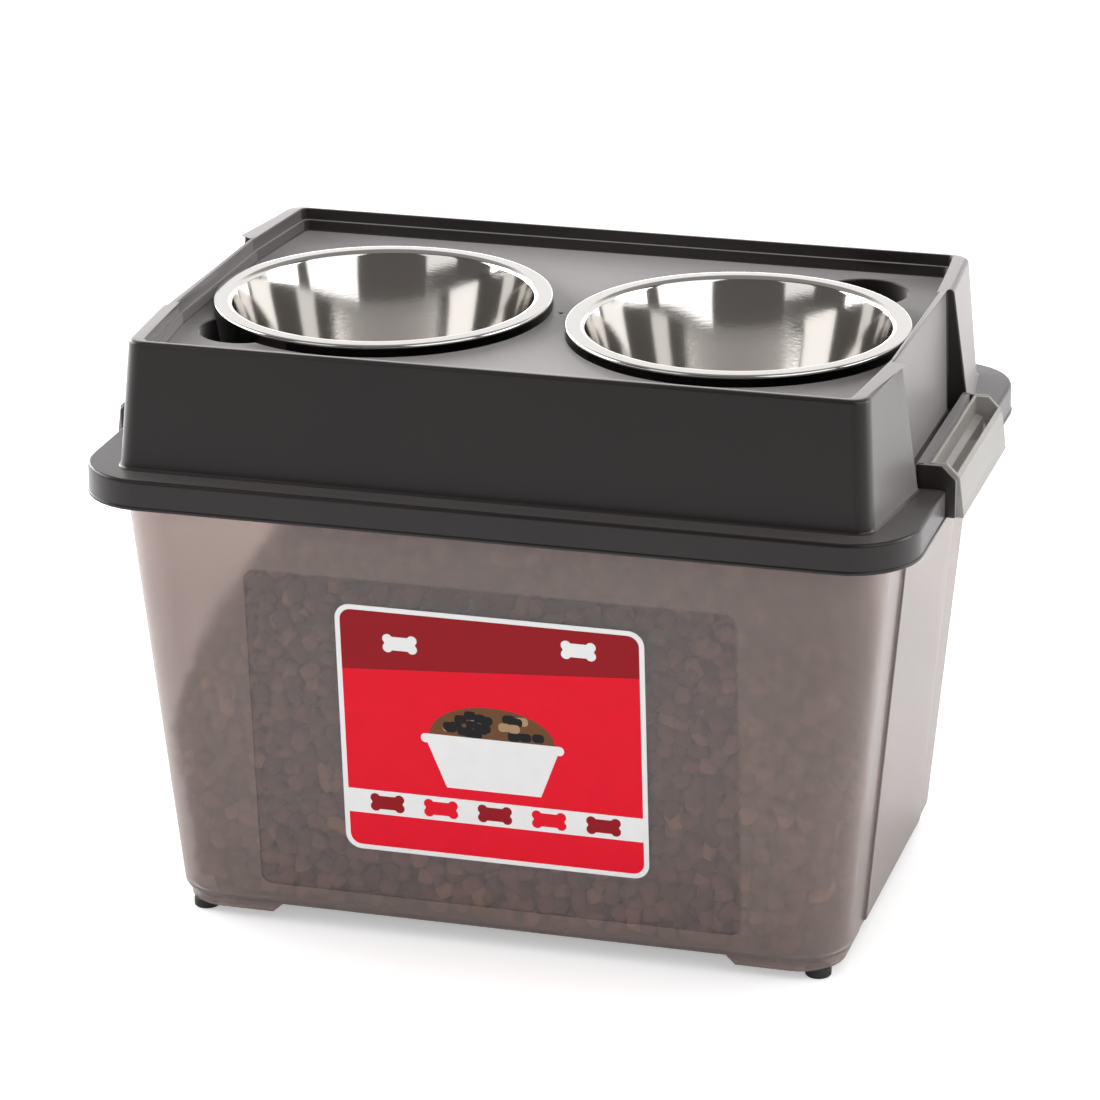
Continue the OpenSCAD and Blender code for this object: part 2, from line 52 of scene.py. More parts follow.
# Sizes in millimetres, as the CAD part has them. X is to the right, the front is towards -Y,
# and side is -1 for left and 1 for right.
Z_FOOT, Z_BIN, Z_SKIRT, Z_RIM = 7.0, 14.0, 310.0, 322.0
Z_UNDER, Z_FLANGE, Z_WELL, Z_DECK, Z_TOP = 328.0, 331.0, 337.0, 403.0, 418.5
BIN_X, BIN_Y = 237.5, 158           # half the bin's width and depth at its bottom
FLARE_X, FLARE_Y = 27.5, 24         # how much both grow up to the rim
BIN_HEIGHT = Z_RIM - Z_BIN
BIN_WALL = 2.5
FRONT_TILT = math.atan(FLARE_Y / BIN_HEIGHT)
PANEL_Y, PANEL_OUT = 89, 2.0        # the raised panel on each side wall: half length, height
WINDOW_X, WINDOW_Z, WINDOW_R = 170, 119, 8      # half sizes and corner of the front window
WINDOW_BOTTOM = 17                  # its lower edge above the bin's bottom
LABEL_BOTTOM, LABEL_HALF = 35, 92   # the label above the window's lower edge, half its height
SKIRT_X, SKIRT_Y, SKIRT_R = 286, 196.5, 48      # outside of the lid's skirt
BEAD = 0.8                          # how far the bead at its foot stands out
RIM_X, RIM_Y, RIM_R = 276, 190, 53  # outside of the bin's rim
POCKET_X, POCKET_Y, POCKET_R = 240.5, 163.5, 5  # inside of the lid's raised edge
POCKET_BULGE = 7.5                  # how much further out its sides are in the middle
LEDGE, LEDGE_DEPTH = 3, 8           # the step inside that edge
NOTCH_Y, POCKET_NOTCH_Y = 84.0, 76  # where the sides step in, outside and inside
LID_WALL, DECK_WALL = 3, 2.5
GAP_Y = 74.5                        # half length of the skirt's opening at a latch
BOWL_X = 126.15                     # a bowl's centre from the middle
BOWL_R = 117.5                      # outside of its rim
WELL_R = BOWL_R - 0.5
WELL_SLOPE = 9 / 66                 # a well gets this much narrower for each mm of depth
SCOOPS = {-1: (-200.6, -76.2), 1: (187.7, 112.8)}
SCOOP_R, SCOOP_DEPTH = 31, 30
PAD_X, PAD_Y = 218.5, 139
LATCH_X, LATCH_Z = 278, 344.5       # the latches' turning axis

UPRIGHT = Matrix.Rotation(math.radians(90), 4, "X")     # turns a shape's Y up

# How finely curves are cut
ROUND_STEPS = 3                     # a rounded edge
CORNER_STEPS = 8                    # a quarter circle of an outline
BIN_STEPS = 16                      # the same on the bin
WELL_STEPS, SCOOP_STEPS = 112, 36   # a well's mouth and its scoop
ARC_STEPS = 6


def wall_y(z):
    """Half the bin's depth at a height."""
    return BIN_Y + FLARE_Y * (z - Z_BIN) / BIN_HEIGHT


def wall_x(z):
    """Half the bin's width at a height."""
    return BIN_X + FLARE_X * (z - Z_BIN) / BIN_HEIGHT


# ---------------------------------------------------------------- mesh tools

class Shell:
    """A mesh made of rings of points in millimetres, with a rounding for each marked edge."""

    def __init__(self):
        self.verts = []
        self.faces = []
        self.slots = []
        self.rounds = {}

    def ring(self, points, rounding=0.0):
        """Adds a closed ring of points and marks its edges for rounding."""
        first = len(self.verts)
        self.verts += points
        ids = list(range(first, len(self.verts)))
        if rounding:
            for i, a in enumerate(ids):
                self.mark(a, ids[(i + 1) % len(ids)], rounding)
        return ids

    def mark(self, a, b, rounding):
        self.rounds[frozenset((a, b))] = rounding

    def bridge(self, a, b, slot=0, edges=()):
        """Joins two rings; edges are the places of the edges between them to round."""
        n = len(a)
        for i in range(n):
            j = (i + 1) % n
            self.faces.append((a[i], a[j], b[j], b[i]))
            self.slots.append(slot)
        for i, rounding in edges:
            self.mark(a[i], b[i], rounding)

    def stack(self, rings, slot=0):
        """Joins each ring to the next."""
        for a, b in zip(rings, rings[1:]):
            self.bridge(a, b, slot)

    def fill(self, loops):
        """A flat face inside the first loop, with the others as holes."""
        flat = [i for loop in loops for i in loop]
        shapes = [[Vector(self.verts[i]) for i in loop] for loop in loops]
        for tri in geometry.tessellate_polygon(shapes):
            self.faces.append(tuple(flat[k] for k in tri))
            self.slots.append(0)

    def cap(self, ring, slot=0):
        self.faces.append(tuple(ring))
        self.slots.append(slot)


def build(name, shell, materials):
    """Makes a smooth-shaded object of a shell and rounds its marked edges."""
    mesh = bpy.data.meshes.new(name)
    mesh.from_pydata([(x * MM, y * MM, z * MM) for x, y, z in shell.verts], [], shell.faces)
    for poly, slot in zip(mesh.polygons, shell.slots):
        poly.material_index = slot
        poly.use_smooth = True
    for paint in materials:
        mesh.materials.append(paint)
    bm = bmesh.new()
    bm.from_mesh(mesh)
    bm.verts.ensure_lookup_table()
    widest = max(shell.rounds.values(), default=0)     # the bevel's weights are shares of this
    if widest:
        layer = bm.edges.layers.float.new("bevel_weight_edge")
        for pair, rounding in shell.rounds.items():
            a, b = pair
            edge = bm.edges.get((bm.verts[a], bm.verts[b]))
            if edge:
                edge[layer] = rounding / widest
    bmesh.ops.recalc_face_normals(bm, faces=bm.faces)
    bm.to_mesh(mesh)
    bm.free()
    piece = bpy.data.objects.new(name, mesh)
    bpy.context.scene.collection.objects.link(piece)
    if widest:
        bevel = piece.modifiers.new("rounding", "BEVEL")
        bevel.width = widest * MM
        bevel.segments = ROUND_STEPS
        bevel.limit_method = "WEIGHT"
        bevel.use_clamp_overlap = False
        bevel.miter_outer = "MITER_ARC"
    apply_modifiers(piece)
    return piece


def apply_modifiers(piece):
    graph = bpy.context.evaluated_depsgraph_get()
    mesh = bpy.data.meshes.new_from_object(piece.evaluated_get(graph))
    old = piece.data
    piece.modifiers.clear()
    piece.data = mesh
    mesh.name = old.name
    bpy.data.meshes.remove(old)


def weight_normals(piece):
    modifier = piece.modifiers.new("normals", "WEIGHTED_NORMAL")
    modifier.weight = 60
    modifier.keep_sharp = True
    apply_modifiers(piece)


def bevel_by_angle(piece, width, angle):
    bevel = piece.modifiers.new("rounding", "BEVEL")
    bevel.width = width * MM
    bevel.segments = ROUND_STEPS
    bevel.limit_method = "ANGLE"
    bevel.angle_limit = math.radians(angle)
    bevel.use_clamp_overlap = True
    apply_modifiers(piece)


def cut(piece, cutter):
    """Takes cutter out of piece; the faces it leaves have the cutter's material."""
    modifier = piece.modifiers.new("cut", "BOOLEAN")
    modifier.operation = "DIFFERENCE"
    modifier.solver = "EXACT"
    modifier.object = cutter
    modifier.material_mode = "TRANSFER"
    bpy.context.view_layer.update()
    apply_modifiers(piece)
    bpy.data.objects.remove(cutter)


def prism(name, points, low, high, materials, rounding=0.0):
    """A closed prism over a flat outline, from low to high along its third axis."""
    shell = Shell()
    a = shell.ring([(x, y, low) for x, y in points], rounding)
    b = shell.ring([(x, y, high) for x, y in points], rounding)
    shell.bridge(a, b, 0, [(i, rounding) for i in range(len(a))] if rounding else ())
    shell.cap(list(reversed(a)))
    shell.cap(b)
    return build(name, shell, materials)


def join(name, pieces):
    """Joins pieces into the first one and names the result."""
    with bpy.context.temp_override(active_object=pieces[0], object=pieces[0],
                                   selected_objects=pieces, selected_editable_objects=pieces):
        bpy.ops.object.join()
    pieces[0].name = name
    pieces[0].data.name = name
    return pieces[0]


def place(piece, matrix):
    """Moves the mesh itself, so the object stays at the origin."""
    piece.data.transform(matrix)


def mirror(piece):
    piece.data.transform(Matrix.Scale(-1, 4, (1, 0, 0)))
    piece.data.flip_normals()


def shade(piece, angle=35):
    """Smooth shading, but for edges sharper than angle."""
    piece.data.polygons.foreach_set("use_smooth", [True] * len(piece.data.polygons))
    piece.data.set_sharp_from_angle(angle=math.radians(angle))


def revolve(points, steps):
    """A shell of revolution about Z from (radius, z) points; the first and last lie on the axis."""
    shell = Shell()
    rings = []
    for r, z in points[1:-1]:
        rings.append(shell.ring([(r * math.cos(2 * math.pi * i / steps),
                                  r * math.sin(2 * math.pi * i / steps), z) for i in range(steps)]))
    shell.stack(rings)
    for ring, (_, z) in ((rings[0], points[0]), (rings[-1], points[-1])):
        centre = len(shell.verts)
        shell.verts.append((0, 0, z))
        for i in range(steps):
            shell.faces.append((ring[i], ring[(i + 1) % steps], centre))
            shell.slots.append(0)
    return shell


# ---------------------------------------------------------------- outlines

def outline(xc, yc, r, z, xm=None, ym=NOTCH_Y, nx=None, n=CORNER_STEPS):
    """Round rectangle of half size xc, yc whose sides bulge to xm, with a step to nx at ym."""
    xm = xc if xm is None else xm
    gap = 1.0 if nx is None else 0.0       # keeps the step's points apart where there is no step
    nx = xm if nx is None else nx
    half = []
    for i in range(n + 1):
        a = math.radians(-90 + 90 * i / n)
        half.append((xc - r + r * math.cos(a), -yc + r + r * math.sin(a), z))
    half += [(xm, -ym - gap, z), (nx, -ym + gap, z), (nx, ym - gap, z), (xm, ym + gap, z)]
    for i in range(n + 1):
        a = math.radians(90 * i / n)
        half.append((xc - r + r * math.cos(a), yc - r + r * math.sin(a), z))
    return half + [(-x, y, h) for x, y, h in reversed(half)]


def step_edges(rounding, n=CORNER_STEPS):
    """The four places in an outline, and their mirrors, where its side steps in or out."""
    half = 2 * (n + 1) + 4
    right = [n + 1, n + 2, n + 3, n + 4]
    return [(i, rounding) for i in right + [2 * half - 1 - j for j in right]]


def arc(cx, cy, r, a0, a1, n=ARC_STEPS):
    return [(cx + r * math.cos(math.radians(a0 + (a1 - a0) * i / n)),
             cy + r * math.sin(math.radians(a0 + (a1 - a0) * i / n))) for i in range(n + 1)]


def flat_round_rect(hx, hy, r):
    """Flat points of a round rectangle of half size hx, hy, one corner after another."""
    points = []
    for q in range(4):
        sx = 1 if q in (0, 3) else -1
        sy = 1 if q < 2 else -1
        for i in range(CORNER_STEPS + 1):
            a = math.radians(90 * q + 90 * i / CORNER_STEPS)
            points.append((sx * (hx - r) + r * math.cos(a), sy * (hy - r) + r * math.sin(a)))
    return points


def mouth(side, big, small, z, floor=False):
    """Outline of a well with its finger scoop; with floor, the scoop's part follows the well."""
    cx = side * BOWL_X
    sx, sy = SCOOPS[side]
    dx, dy = sx - cx, sy
    d = math.hypot(dx, dy)
    base = math.atan2(dy, dx)
    a = math.acos((d * d + big * big - small * small) / (2 * d * big))
    b = math.acos((d * d + small * small - big * big) / (2 * d * small))
    points = []
    for i in range(WELL_STEPS):
        t = base + a + (2 * math.pi - 2 * a) * i / (WELL_STEPS - 1)
        points.append((cx + big * math.cos(t), big * math.sin(t), z))
    for i in range(1, SCOOP_STEPS + 1):
        if floor:
            t = base - a + 2 * a * i / (SCOOP_STEPS + 1)
            points.append((cx + big * math.cos(t), big * math.sin(t), z))
        else:
            t = base + math.pi + b + (2 * math.pi - 2 * b) * i / (SCOOP_STEPS + 1)
            points.append((sx + small * math.cos(t), sy + small * math.sin(t), z))
    return points


def well(shell, side, grow=0):
    """Walls of one bowl well and its scoop, from the deck down to a closed floor. With grow it
    is the outside, that far from the inside on all sides."""
    big, small = WELL_R + grow, SCOOP_R + grow
    top, step, base = Z_DECK - grow, Z_DECK - SCOOP_DEPTH - grow, Z_WELL - grow

    def radius(z):
        return big - WELL_SLOPE * (Z_DECK - z)

    edge = 1.6 if grow == 0 else 0.4       # rounding of the mouth
    rings = [mouth(side, big + edge, small + edge, top),
             mouth(side, big + edge * 0.3, small + edge * 0.3, top - edge * 0.3),
             mouth(side, big, small, top - edge),
             mouth(side, radius(step + 2), small, step + 2),
             mouth(side, radius(step + 0.6), small - 0.6, step + 0.6),
             mouth(side, radius(step), small - 2, step)]
    low = mouth(side, radius(step) + 1.2, small, step, floor=True)
    outer = mouth(side, radius(step) - 0.05, small, step - 0.6, floor=True)
    rings.append(outer[:WELL_STEPS] + low[WELL_STEPS:])
    rings.append(mouth(side, radius(step - 1.4), small, step - 1.4, floor=True))
    rings += [mouth(side, radius(base + 2), small, base + 2, floor=True),
              mouth(side, radius(base) - 0.7, small, base + 0.7, floor=True),
              mouth(side, radius(base) - 2, small, base, floor=True)]
    ids = [shell.ring(r) for r in rings]
    shell.stack(ids)
    shell.cap(ids[-1])
    return ids[0]


# ---------------------------------------------------------------- materials

def material(name, **values):
    """A Principled material; the values go on its shader's own sockets."""
    made = bpy.data.materials.new(name)
    made.use_nodes = True
    bsdf = made.node_tree.nodes["Principled BSDF"]
    for key, value in values.items():
        bsdf.inputs[key.replace("_", " ")].default_value = value
    return made, made.node_tree, bsdf


def node(tree, kind, inputs=None, **attributes):
    """Adds a node; an input is a number, a colour or the socket to link to it."""
    made = tree.nodes.new(kind)
    for key, value in attributes.items():
        setattr(made, key, value)
    for key, value in (inputs or {}).items():
        if isinstance(value, bpy.types.NodeSocket):
            tree.links.new(value, made.inputs[key])
        else:
            made.inputs[key].default_value = value
    return made


def ramp(tree, fac, stops):
    made = node(tree, "ShaderNodeValToRGB", {"Fac": fac})
    elements = made.color_ramp.elements
    while len(elements) < len(stops):
        elements.new(0.5)
    for element, (place_at, colour) in zip(elements, stops):
        element.position = place_at
        element.color = (*colour, 1)
    return made.outputs["Color"]


def span(tree, fac, low, high):
    spread = node(tree, "ShaderNodeMapRange", {"Value": fac, "To Min": low, "To Max": high})
    return spread.outputs["Result"]


def grain(tree, scale, detail, stretch=(1, 1, 1)):
    where = node(tree, "ShaderNodeTexCoord").outputs["Object"]
    moved = node(tree, "ShaderNodeMapping", {"Vector": where, "Scale": stretch}).outputs["Vector"]
    speckle = node(tree, "ShaderNodeTexNoise", {"Vector": moved, "Scale": scale, "Detail": detail})
    return speckle.outputs["Fac"]


def scaled(tree, colour, factor):
    return node(tree, "ShaderNodeVectorMath", {0: colour, 3: factor},
                operation="SCALE").outputs["Vector"]


def bump(tree, bsdf, height, strength, distance):
    made = node(tree, "ShaderNodeBump",
                {"Height": height, "Strength": strength, "Distance": distance})
    tree.links.new(made.outputs["Normal"], bsdf.inputs["Normal"])


def satin_plastic(name, sheen):
    """Near-black moulded plastic; the sheen lifts what is seen at a grazing angle."""
    made, tree, bsdf = material(name, Base_Color=(0.007, 0.0045, 0.0045, 1), Roughness=0.3,
                                Sheen_Weight=sheen, Sheen_Roughness=0.41,
                                Sheen_Tint=(1, 0.94, 0.945, 1))
    cloud = grain(tree, 9, 3)
    tone = ramp(tree, cloud, [(0.3, (0.0055, 0.0026, 0.0026)), (0.7, (0.0085, 0.0042, 0.0042))])
    tree.links.new(tone, bsdf.inputs["Base Color"])
    streak = grain(tree, 240, 2, (1, 1, 0.12))
    tree.links.new(span(tree, streak, 0.26, 0.34), bsdf.inputs["Roughness"])
    bump(tree, bsdf, grain(tree, 1500, 1), 0.12, 0.0001)
    return made


def frosted(name, rough, colour, clear, shine, painted_rim_light=0.0):
    """Smoke-coloured see-through plastic; its last value paints the colour lighter towards the rim:
    painted light that lifts the wall's top band against the shade under the lid's flange.
    """
    made, tree, bsdf = material(name, Base_Color=(*colour, 1), Roughness=rough, IOR=1.45,
                                Transmission_Weight=clear, Specular_IOR_Level=shine)
    cloud = grain(tree, 14, 3)
    tree.links.new(span(tree, cloud, rough * 0.9, rough * 1.1), bsdf.inputs["Roughness"])
    low = tuple(c * 0.95 for c in colour)
    high = tuple(min(c * 1.05, 1) for c in colour)
    tone = ramp(tree, grain(tree, 5, 2), [(0.1, low), (0.9, high)])
    where = node(tree, "ShaderNodeTexCoord").outputs["Object"]
    height = node(tree, "ShaderNodeSeparateXYZ", {"Vector": where}).outputs["Z"]
    start, full = 0.24, 0.32         # heights in metres
    # painted light: from start up to full the colour is made up to that much lighter, against the
    # shade that the lid's flange casts on the top of the wall
    painted_light_gain = node(tree, "ShaderNodeMapRange",
                 {"Value": height, "From Min": start, "From Max": full, "To Min": 1.0,
                  "To Max": 1.0 + painted_rim_light}).outputs["Result"]
    tree.links.new(scaled(tree, tone, painted_light_gain), bsdf.inputs["Base Color"])
    bump(tree, bsdf, grain(tree, 900, 1), 0.1, 0.0001)
    return made


def maths(tree, operation, a, b):
    return node(tree, "ShaderNodeMath", {0: a, 1: b}, operation=operation).outputs[0]


def steel():
    """Polished steel with fine lines that run round the bowl."""
    made, tree, bsdf = material("bowl_steel", Base_Color=(0.81, 0.79, 0.765, 1), Metallic=1.0,
                                Roughness=0.09)
    where = node(tree, "ShaderNodeTexCoord").outputs["Object"]
    axes = node(tree, "ShaderNodeSeparateXYZ", {"Vector": where}).outputs
    across = maths(tree, "ARCTAN2", axes["X"], axes["Y"])
    flat = node(tree, "ShaderNodeCombineXYZ", {"X": axes["X"], "Y": axes["Y"], "Z": 0.0}).outputs[0]
    radius = node(tree, "ShaderNodeVectorMath", {0: flat}, operation="LENGTH").outputs["Value"]
    down = maths(tree, "SUBTRACT", axes["Z"], radius)
    turned = maths(tree, "MULTIPLY", across, 0.02)
    rings = node(tree, "ShaderNodeCombineXYZ", {"X": turned, "Y": down, "Z": 0.0}).outputs[0]
    lines = node(tree, "ShaderNodeTexNoise",
                 {"Vector": rings, "Scale": 900.0, "Detail": 3.0}).outputs["Fac"]
    tree.links.new(span(tree, lines, 0.05, 0.13), bsdf.inputs["Roughness"])
    bump(tree, bsdf, lines, 0.12, 0.0001)
    return made


def rubber(name, colour, rough, spread, scales, strength):
    """Matte rubber: patches of two roughnesses and a fine bump, at two scales."""
    made, tree, bsdf = material(name, Base_Color=(*colour, 1), Roughness=rough)
    tree.links.new(span(tree, grain(tree, scales[0], 2), *spread), bsdf.inputs["Roughness"])
    bump(tree, bsdf, grain(tree, scales[1], 2), strength, 0.0002)
    return made


def latch_plastic():
    made, tree, bsdf = material("latch_plastic", Base_Color=(0.60, 0.57, 0.54, 1), Roughness=0.2,
                                IOR=1.46, Transmission_Weight=0.6)
    tree.links.new(span(tree, grain(tree, 60, 3), 0.16, 0.26), bsdf.inputs["Roughness"])
    tone = ramp(tree, grain(tree, 20, 2), [(0.3, (0.58, 0.55, 0.52)), (0.7, (0.63, 0.60, 0.57))])
    tree.links.new(tone, bsdf.inputs["Base Color"])
    return made


def kibble_crust():
    """Dry biscuit; each nugget's tone is stored on its mesh."""
    made, tree, bsdf = material("kibble", Base_Color=(0.12, 0.06, 0.035, 1), Roughness=0.85)
    tone = node(tree, "ShaderNodeAttribute", attribute_name="tone").outputs["Fac"]
    base = ramp(tree, tone, [(0.0, (0.19, 0.098, 0.075)), (0.55, (0.34, 0.180, 0.135)),
                             (0.85, (0.44, 0.24, 0.175)), (1.0, (0.60, 0.36, 0.24))])
    speck = grain(tree, 700, 3)
    shadow = span(tree, speck, 0.6, 1.25)
    tree.links.new(scaled(tree, base, shadow), bsdf.inputs["Base Color"])
    bump(tree, bsdf, speck, 0.6, 0.0006)
    return made


def film(name, colour):
    """Printed film of one colour."""
    rough = 0.22
    made, tree, bsdf = material(name, Base_Color=(*colour, 1), Roughness=rough,
                                Specular_IOR_Level=0.15)
    low = tuple(c * 0.97 for c in colour)
    tone = ramp(tree, grain(tree, 60, 2), [(0.35, low), (0.65, colour)])
    tree.links.new(tone, bsdf.inputs["Base Color"])
    tree.links.new(span(tree, grain(tree, 180, 2), rough * 0.85, rough * 1.2),
                   bsdf.inputs["Roughness"])
    return made


LID = satin_plastic("lid_plastic", 1.0)
# a darker copy of the same plastic for the flange and skirt: painted shade for the dark reflection
# of the lid's wall
SKIRT_PAINTED_SHADE = satin_plastic("lid_skirt_painted_shade", 0.3)
# the outer face's colour carries painted light towards the rim
FROST = frosted("bin_frosted", 0.24, (0.62, 0.505, 0.47), 0.80, 0.25, painted_rim_light=0.2)
FROST_IN = frosted("bin_inner", 0.12, (0.62, 0.57, 0.55), 1.0, 0.25)
CLEAR = frosted("bin_window", 0.06, (0.66, 0.58, 0.57), 0.92, 0.4)
STEEL = steel()
RUBBER = rubber("pad_rubber", (0.02, 0.018, 0.018), 0.6, (0.5, 0.75), (300, 2500), 0.25)
SEAL = rubber("seal_rubber", (0.05, 0.05, 0.053), 0.5, (0.45, 0.65), (200, 1800), 0.2)
LATCH = latch_plastic()
KIBBLE = kibble_crust()


# ---------------------------------------------------------------- feeder lid

def skirt_ring(z, grow=0):
    return outline(SKIRT_X + grow, SKIRT_Y + grow, SKIRT_R + grow, z)


def rib_ring(z, inset):
    return outline(RIM_X - inset, RIM_Y - inset, RIM_R - inset, z)


def pocket_ring(z, inset=0):
    return outline(POCKET_X - inset, POCKET_Y - inset, POCKET_R, z,
                   POCKET_X + POCKET_BULGE - inset, POCKET_NOTCH_Y)


def body_ring(k, z, inset=0):
    """Outline of the feeder body, which grows from k = 0 at the top to k = 1 at the flange."""
    lean = (Z_TOP + 2 - z) / (Z_TOP + 2 - Z_FLANGE)
    notch = 251.5 + 2.5 * lean - inset
    return outline(252.5 + 6 * k - inset, 168 + 9 * k - inset, 12 - inset, z,
                   257 + 12.5 * k - inset, NOTCH_Y + inset, notch)


def gate_mark(shell):
    """The small dimple that the mould's gate left in the deck."""
    cx, cy, steps = -2, 12, 18
    rings = []
    for r, depth in ((2.0, 0), (1.5, 0.4), (0.7, 0.9)):
        turns = [math.radians(360 / steps * i) for i in range(steps)]
        rings.append(shell.ring([(cx + r * math.cos(a), cy + r * math.sin(a), Z_DECK - depth)
                                 for a in turns]))
    shell.stack(rings)
    shell.cap(rings[-1])
    return rings[0]


def lid_shell():
    shell = Shell()
    # outside, from the foot of the skirt up to the top edge
    inner_skirt = shell.ring(skirt_ring(Z_SKIRT, -LID_WALL), 0.6)
    bead_low = shell.ring(skirt_ring(Z_SKIRT, BEAD), 0.5)
    bead_top = shell.ring(skirt_ring(Z_SKIRT + 2, BEAD), 0.4)
    skirt_low = shell.ring(skirt_ring(Z_SKIRT + 2.5), 0.2)
    flange_low = shell.ring(skirt_ring(Z_FLANGE - 3))
    flange_top = shell.ring(skirt_ring(Z_FLANGE, -0.4), 1.6)
    base = shell.ring(body_ring(1, Z_FLANGE), 2.2)
    top = shell.ring(body_ring(0, Z_TOP))
    notch = {CORNER_STEPS + j for j in (1, 2, 3)}
    notch |= {len(top) - 2 - j for j in notch}
    for i in range(len(top)):
        shell.mark(top[i], top[(i + 1) % len(top)], 1.2 if i in notch else 2.8)
    # inside the raised edge, down to the deck
    pocket = shell.ring(pocket_ring(Z_TOP), 1.1)
    ledge_out = shell.ring(pocket_ring(Z_TOP - LEDGE_DEPTH), 0.5)
    ledge_in = shell.ring(pocket_ring(Z_TOP - LEDGE_DEPTH, LEDGE), 0.7)
    deck = shell.ring(pocket_ring(Z_DECK, LEDGE), 1.2)
    shell.stack([inner_skirt, bead_low, bead_top, skirt_low, flange_low, flange_top, base])
    shell.bridge(base, top, 0, step_edges(1.6))
    shell.stack([top, pocket, ledge_out, ledge_in, deck])
    gate = gate_mark(shell)
    shell.fill([deck, well(shell, -1), well(shell, 1), gate])
    # the hollow under it, and two ribs beside the seal
    under_skirt = shell.ring(skirt_ring(Z_UNDER, -LID_WALL), 1.0)
    under_base = shell.ring(body_ring(1, Z_UNDER, LID_WALL))
    under_low = shell.ring(body_ring(0.95, Z_FLANGE + 4, LID_WALL))
    under_deck = shell.ring(body_ring(0.2, Z_DECK - DECK_WALL, LID_WALL))
    shell.stack([inner_skirt, under_skirt, under_base, under_low, under_deck])
    shell.fill([under_deck, well(shell, -1, DECK_WALL), well(shell, 1, DECK_WALL)])
    for inset in (0.8, 8.2):
        high, low, far = Z_UNDER + 0.4, Z_UNDER - 3.5, inset + 2
        loops = [shell.ring(rib_ring(z, i))
                 for i, z in ((inset, high), (inset, low), (far, low), (far, high))]
        shell.stack(loops + loops[:1])
    piece = build("feeder_top", shell, [LID])
    # the skirt is open behind each latch
    for side in (-1, 1):
        near, far = side * RIM_X, side * 330
        box = prism("gap", [(near, -GAP_Y), (far, -GAP_Y), (far, GAP_Y), (near, GAP_Y)],
                    300, 345, [LID])
        cut(piece, box)
    shade(piece, 40)
    weight_normals(piece)
    # painted shade: the flange and skirt get a copy of the lid plastic with less sheen, which makes
    # them darker and stands in for the dark reflection of the lid's wall in the flange
    piece.data.materials.append(SKIRT_PAINTED_SHADE)
    for face in piece.data.polygons:
        if face.center.z < (Z_FLANGE + 0.5) * MM:
            face.material_index = 1
    return piece


def bracket(side):
    """End plates and rail that carry one latch."""
    low, high = Z_UNDER + 1, 347.5
    plate = [(266, low), (266, high), (283.3, high), (292.8, 338), (292.8, 312),
             (284.5, 312), (284.5, low)]
    pieces = []
    for s in (-1, 1):
        near, far = sorted((s * 74, s * 78))
        end = prism("plate", plate, -far, -near, [LID], 0.6)
        place(end, UPRIGHT)
        pieces.append(end)
    rail = [(266, -77), (271.5, -77), (271.5, 77), (266, 77)]
    pieces.append(prism("rail", rail, low, high, [LID], 0.6))
    piece = join("bracket_" + ("right" if side > 0 else "left"), pieces)
    if side < 0:
        mirror(piece)
    shade(piece)
    weight_normals(piece)
    return piece


top = lid_shell()
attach(top, "lid")
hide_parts("feeder_lid")
for side in (-1, 1):
    piece = bracket(side)
    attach(piece, "lid")


# ---------------------------------------------------------------- bowls

def bowl_profile():
    """(radius, height) round the closed section of a bowl, heights from its base."""
    lean = math.atan(17.8 / 74)             # how far the wall leans out over the bowl's depth
    steep = math.degrees(lean)
    lip_x, lip_z, turn_z = 108.3, 69.5, 9.0     # centres of the bends at the lip and the floor
    turn_x = lip_x - 12.5 / math.cos(lean) - (lip_z - turn_z) * math.tan(lean)
    inner = [(0, 1.0), (45, 1.0), (70, 1.0)] + arc(turn_x, turn_z, 8.0, -90, -steep, 10)
    outer = [(0, 0.0), (45, 0.0), (70, 0.05)] + arc(turn_x, turn_z, 9.0, -90, -steep, 10)
    for points in (inner, outer):
        r, z = points[-1]
        points += [(r + k * 50 * math.tan(lean), z + k * 50) for k in (0.02, 0.3, 0.6, 1.0)]
    inner += arc(lip_x, lip_z, 4.5, 180 - steep, 90, 10) + [(110, 74.0), (113.5, 73.98)]
    outer += (arc(lip_x, lip_z, 3.5, 180 - steep, 90, 8)
              + [(112, 73.0), (114.4, 72.6), (114.8, 71.0)])
    return inner + arc(115.9, 72.35, 1.6, 90, -90, 9) + outer[::-1]


for side, name in ((-1, "left"), (1, "right")):
    piece = build("steel_bowl_" + name, revolve(bowl_profile(), 144), [STEEL])
    piece.location = (side * BOWL_X * MM, 0, Z_WELL * MM)
    shade(piece, 60)
    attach(piece, "bowl_" + name)
    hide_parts("bowl_" + name)


# ---------------------------------------------------------------- storage bin

def on_front(z, lift=0.0):
    """Places a flat shape on the front wall, with its own up along the wall."""
    return (Matrix.Translation((0, -wall_y(z) * MM, z * MM))
            @ Matrix.Rotation(math.radians(90) + FRONT_TILT, 4, "X")
            @ Matrix.Translation((0, 0, lift * MM)))


def bin_ring(z, inset, r, panel=None):
    """Outline of the bin's wall at a height; panel is how far its side panels stand out."""
    x = wall_x(z) - inset
    step = None if panel is None else x + panel
    return outline(x, wall_y(z) - inset, r, z, x, PANEL_Y, step, BIN_STEPS)


def bin_rim(x, y, r, z):
    return outline(x, y, r, z, None, PANEL_Y, None, BIN_STEPS)


